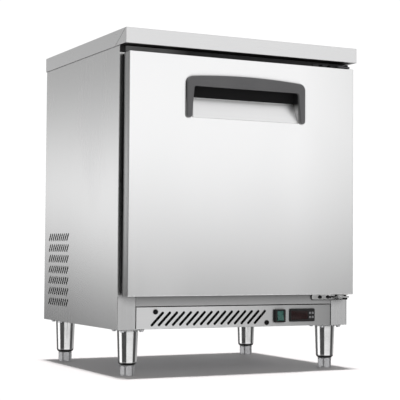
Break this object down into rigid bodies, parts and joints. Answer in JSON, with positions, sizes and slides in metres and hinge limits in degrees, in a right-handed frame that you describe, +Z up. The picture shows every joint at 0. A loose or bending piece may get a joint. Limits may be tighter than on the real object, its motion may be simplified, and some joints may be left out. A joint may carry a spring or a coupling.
{
  "type": "undercounter refrigerator",
  "caption": "Stainless undercounter refrigerator with one side-hinged insulated door, recessed grip, slotted kick panel with switch and controller, wire shelves and tapered legs.",
  "frame": {"origin": "floor level at the middle of the footprint, the overall box with the door grip included", "axes": "+Z up, +Y towards the back, +X towards the hinge side"},
  "size_m": [0.7, 0.608, 0.89],
  "materials": {
    "stainless": "satin brushed",
    "stainless_worktop": "brushed along the length",
    "stainless_door": "fine vertical brush",
    "polished_steel": "polished",
    "liner_steel": "smooth",
    "galvanised": "spangled zinc",
    "foam": "rigid foam",
    "grey_pvc": "matt",
    "dark_grip": "fine grained",
    "black_plastic": "semi gloss",
    "gasket_rubber": "matt",
    "core_board": "black phenolic-faced board",
    "dark_zinc": "black passivated zinc",
    "mount_rubber": "matt",
    "foot_steel": "machined",
    "zinc_screw": "bright",
    "black_screw": "black oxide",
    "rocker_green": "translucent green",
    "button_grey": "satin",
    "display_lens": "smoked",
    "white_nylon": "natural",
    "shelf_wire": "bright wire",
    "coil_fins": "mill",
    "fan_plastic": "moulded",
    "motor_metal": "grey",
    "compressor_black": "black enamel",
    "copper": "copper tube",
    "tray_plastic": "matt"
  },
  "bodies": {
    "cabinet": {"worktop": "stainless_worktop", "worktop_core": "core_board", "side_panel_left": "stainless", "side_panel_right": "stainless", "back_panel": "galvanised", "rear_grille": "galvanised", "rear_grille_screws": "zinc_screw", "liner": "liner_steel", "insulation": "foam", "front_frame": "grey_pvc", "base_pan": "galvanised", "corner_post_left": "stainless", "corner_post_right": "stainless", "base_rail": "stainless", "kick_panel": "stainless_worktop", "kick_panel_screws": "black_screw", "legs": "polished_steel", "leg_screws": "zinc_screw", "hinge_bracket_lower": "polished_steel", "hinge_bracket_upper": "dark_zinc", "hinge_pins": "black_screw", "hinge_screws": "black_screw", "switch_bezel": "black_plastic", "controller_case": "black_plastic", "controller_lens": "display_lens", "shelf_pilasters": "liner_steel", "shelf_clips": "zinc_screw", "evaporator_coil": "coil_fins", "evaporator_cover": "liner_steel", "evaporator_fan_motor": "motor_metal", "compressor": "compressor_black", "compressor_mounts": "mount_rubber", "condenser_coil": "coil_fins", "condenser_shroud": "galvanised", "condenser_fan_motor": "motor_metal", "filter_drier": "copper", "refrigerant_pipes": "copper", "drip_tray": "tray_plastic", "electrical_box": "tray_plastic", "power_inlet": "black_plastic"},
    "door": {"door_shell": "stainless_door", "door_foam": "foam", "door_liner": "grey_pvc", "door_gasket": "gasket_rubber", "hinge_bushes": "white_nylon", "handle_trim": "dark_grip", "handle_scoop": "stainless_door"},
    "rocker_switch": {"rocker": "rocker_green"},
    "key_set": {"button_set": "button_grey"},
    "key_up": {"button_up": "button_grey"},
    "key_down": {"button_down": "button_grey"},
    "key_power": {"button_power": "button_grey"},
    "evaporator_rotor": {"evaporator_fan": "fan_plastic"},
    "condenser_rotor": {"condenser_fan": "fan_plastic"},
    "levelling_foot_front_left": {"foot_front_left": "foot_steel"},
    "levelling_foot_front_right": {"foot_front_right": "foot_steel"},
    "levelling_foot_rear_left": {"foot_rear_left": "foot_steel"},
    "levelling_foot_rear_right": {"foot_rear_right": "foot_steel"},
    "lower_shelf": {"shelf_lower": "shelf_wire"},
    "upper_shelf": {"shelf_upper": "shelf_wire"}
  },
  "joints": [
    {"name": "door_hinge", "type": "hinge", "parent": "cabinet", "child": "door", "pos_m": [0.326, -0.276, 0.5], "axis": [0, 0, 1], "range_deg": [0, 110]},
    {"name": "rocker_tilt", "type": "hinge", "parent": "cabinet", "child": "rocker_switch", "pos_m": [0.13, -0.2554, 0.1485], "axis": [1, 0, 0], "range_deg": [0, 20]},
    {"name": "set_press", "type": "slide", "parent": "cabinet", "child": "key_set", "axis": [0, 1, 0], "range_m": [0, 0.0008], "stiffness_N_per_m": 400},
    {"name": "up_press", "type": "slide", "parent": "cabinet", "child": "key_up", "axis": [0, 1, 0], "range_m": [0, 0.0008], "stiffness_N_per_m": 400},
    {"name": "down_press", "type": "slide", "parent": "cabinet", "child": "key_down", "axis": [0, 1, 0], "range_m": [0, 0.0008], "stiffness_N_per_m": 400},
    {"name": "power_press", "type": "slide", "parent": "cabinet", "child": "key_power", "axis": [0, 1, 0], "range_m": [0, 0.0008], "stiffness_N_per_m": 400},
    {"name": "evaporator_fan_spin", "type": "hinge", "parent": "cabinet", "child": "evaporator_rotor", "pos_m": [0, 0.165, 0.69], "axis": [0, -1, 0], "continuous": true},
    {"name": "condenser_fan_spin", "type": "hinge", "parent": "cabinet", "child": "condenser_rotor", "pos_m": [-0.16, 0.202, 0.233], "axis": [1, 0, 0], "continuous": true},
    {"name": "foot_front_left_extend", "type": "slide", "parent": "cabinet", "child": "levelling_foot_front_left", "axis": [0, 0, -1], "range_m": [0, 0.025]},
    {"name": "foot_front_right_extend", "type": "slide", "parent": "cabinet", "child": "levelling_foot_front_right", "axis": [0, 0, -1], "range_m": [0, 0.025]},
    {"name": "foot_rear_left_extend", "type": "slide", "parent": "cabinet", "child": "levelling_foot_rear_left", "axis": [0, 0, -1], "range_m": [0, 0.025]},
    {"name": "foot_rear_right_extend", "type": "slide", "parent": "cabinet", "child": "levelling_foot_rear_right", "axis": [0, 0, -1], "range_m": [0, 0.025]},
    {"name": "lower_shelf_lift", "type": "slide", "parent": "cabinet", "child": "lower_shelf", "axis": [0, 0, 1], "range_m": [0, 0.02]},
    {"name": "upper_shelf_lift", "type": "slide", "parent": "cabinet", "child": "upper_shelf", "axis": [0, 0, 1], "range_m": [0, 0.02]}
  ]
}
